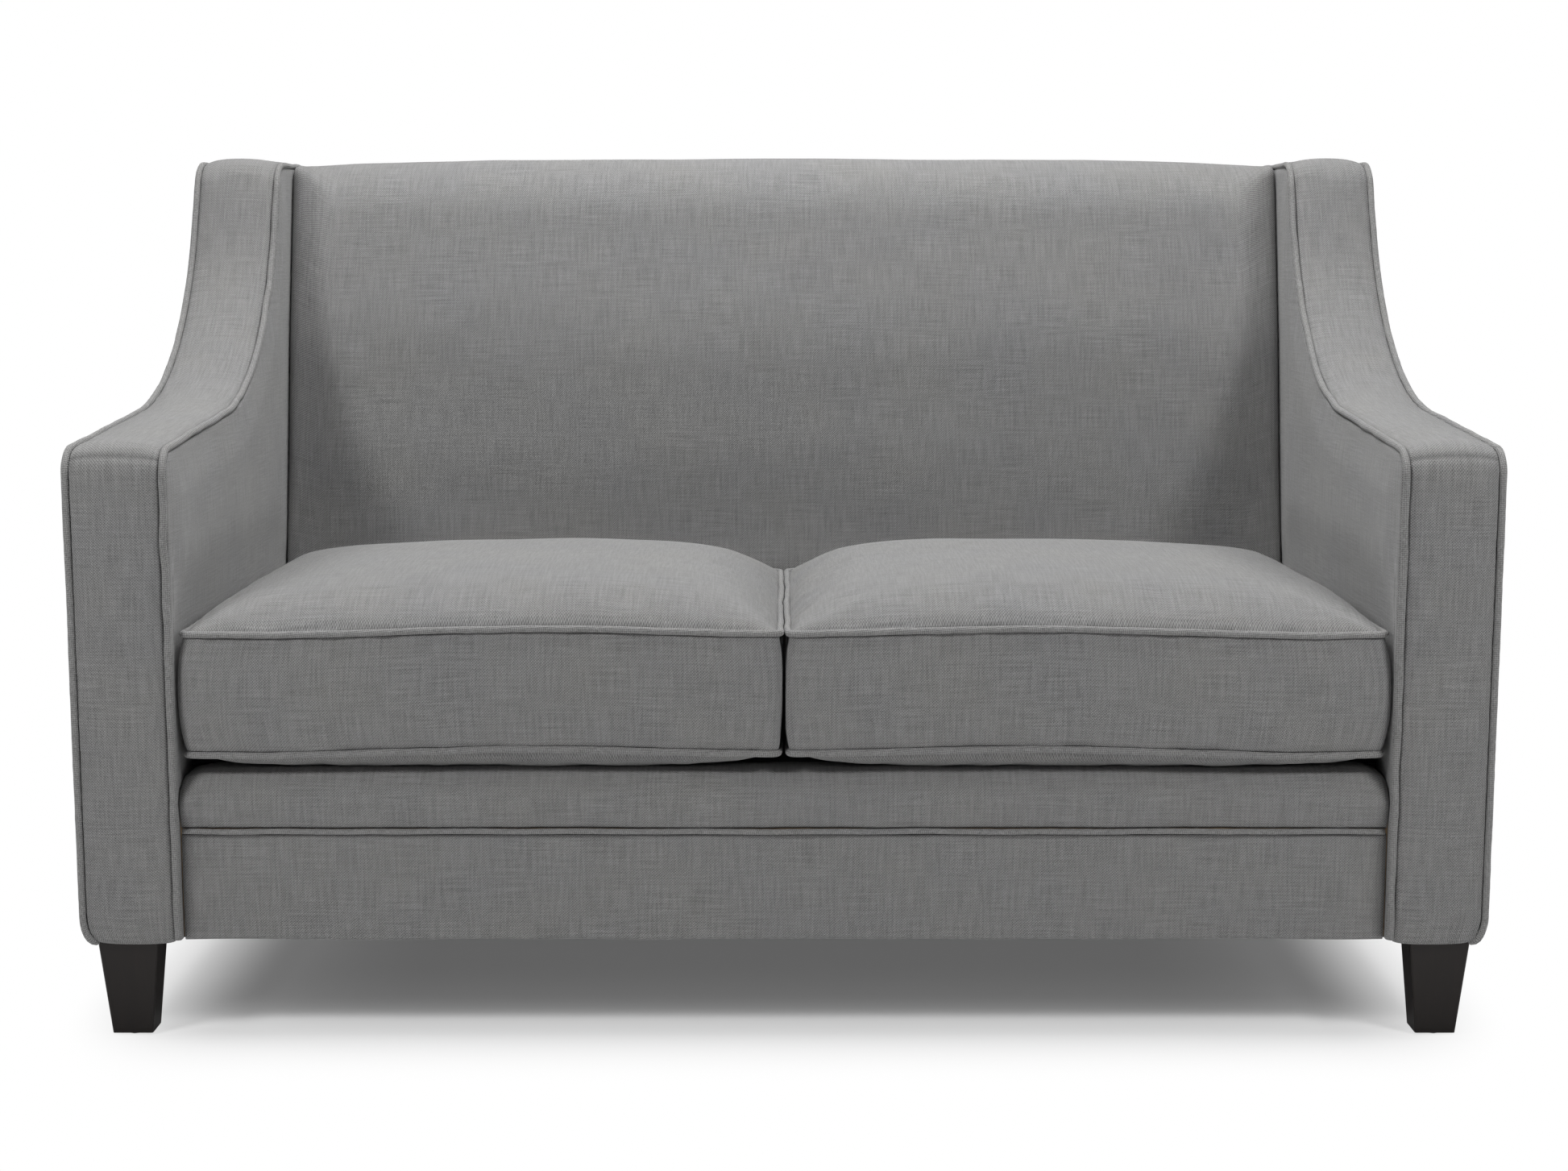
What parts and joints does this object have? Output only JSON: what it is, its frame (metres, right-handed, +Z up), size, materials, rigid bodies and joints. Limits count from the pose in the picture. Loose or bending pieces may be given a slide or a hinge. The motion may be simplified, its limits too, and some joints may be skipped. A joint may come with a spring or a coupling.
{
  "type": "two-seater sofa",
  "caption": "Upholstered two-seater sofa with scooped arms, piped seams, loose box seat cushions and short tapered wooden legs.",
  "frame": {"origin": "on the floor under the middle of the sofa", "axes": "+X to the right as seen from the front, along the width; +Y from the front to the back; +Z up"},
  "size_m": [1.4, 0.78, 0.8921],
  "materials": {
    "black_cloth": "spun-bonded, matt",
    "dark_wood": "dark stain, satin lacquer",
    "foam": "open-cell foam",
    "grey_cloth": "matt hopsack weave, mid grey",
    "hardwood": "planed, unfinished",
    "nylon": "moulded, matt",
    "plywood": "plywood, unfinished",
    "spring_steel": "oiled spring wire",
    "wadding": "bonded fibre wadding",
    "webbing": "woven jute",
    "zinc": "zinc plated"
  },
  "bodies": {
    "frame": {"back_foam": "foam", "back_rail": "hardwood", "back_top_bar": "hardwood", "back_tuck_bar": "hardwood", "back_webbing": "webbing", "centre_rail": "hardwood", "deck_cover": "black_cloth", "deck_pad": "wadding", "dust_cover": "black_cloth", "front_border_piping": "grey_cloth", "front_edge_roll": "foam", "front_rail": "hardwood", "front_spring_clip_rail": "zinc", "inside_back_cover": "grey_cloth", "left_arm_band_cover": "grey_cloth", "left_arm_band_padding": "wadding", "left_arm_board": "plywood", "left_arm_front_post": "hardwood", "left_arm_inner_piping": "grey_cloth", "left_arm_outer_piping": "grey_cloth", "left_back_leg": "dark_wood", "left_back_leg_glide": "nylon", "left_back_post": "hardwood", "left_front_leg": "dark_wood", "left_front_leg_glide": "nylon", "left_inside_arm_cover": "grey_cloth", "left_inside_arm_foam": "foam", "left_outside_arm_cover": "grey_cloth", "lower_front_border": "grey_cloth", "outside_back_cover": "grey_cloth", "rear_spring_clip_rail": "zinc", "right_arm_band_cover": "grey_cloth", "right_arm_band_padding": "wadding", "right_arm_board": "plywood", "right_arm_front_post": "hardwood", "right_arm_inner_piping": "grey_cloth", "right_arm_outer_piping": "grey_cloth", "right_back_leg": "dark_wood", "right_back_leg_glide": "nylon", "right_back_post": "hardwood", "right_front_leg": "dark_wood", "right_front_leg_glide": "nylon", "right_inside_arm_cover": "grey_cloth", "right_inside_arm_foam": "foam", "right_outside_arm_cover": "grey_cloth", "seat_spring_unit": "spring_steel", "upper_front_border": "grey_cloth"},
    "left_cushion": {"left_cushion_cover": "grey_cloth", "left_cushion_foam": "foam", "left_cushion_lower_piping": "grey_cloth", "left_cushion_upper_piping": "grey_cloth", "left_cushion_zip": "nylon"},
    "left_zip_slider": {"left_cushion_zip_slider": "zinc"},
    "right_cushion": {"right_cushion_cover": "grey_cloth", "right_cushion_foam": "foam", "right_cushion_lower_piping": "grey_cloth", "right_cushion_upper_piping": "grey_cloth", "right_cushion_zip": "nylon"},
    "right_zip_slider": {"right_cushion_zip_slider": "zinc"}
  },
  "joints": [
    {"name": "left_cushion_lift", "type": "slide", "parent": "frame", "child": "left_cushion", "axis": [0, 0, 1], "range_m": [0, 0.65]},
    {"name": "left_zip_slide", "type": "slide", "parent": "left_cushion", "child": "left_zip_slider", "axis": [1, 0, 0], "range_m": [0, 0.485]},
    {"name": "right_cushion_lift", "type": "slide", "parent": "frame", "child": "right_cushion", "axis": [0, 0, 1], "range_m": [0, 0.65]},
    {"name": "right_zip_slide", "type": "slide", "parent": "right_cushion", "child": "right_zip_slider", "axis": [-1, 0, 0], "range_m": [0, 0.485]}
  ]
}
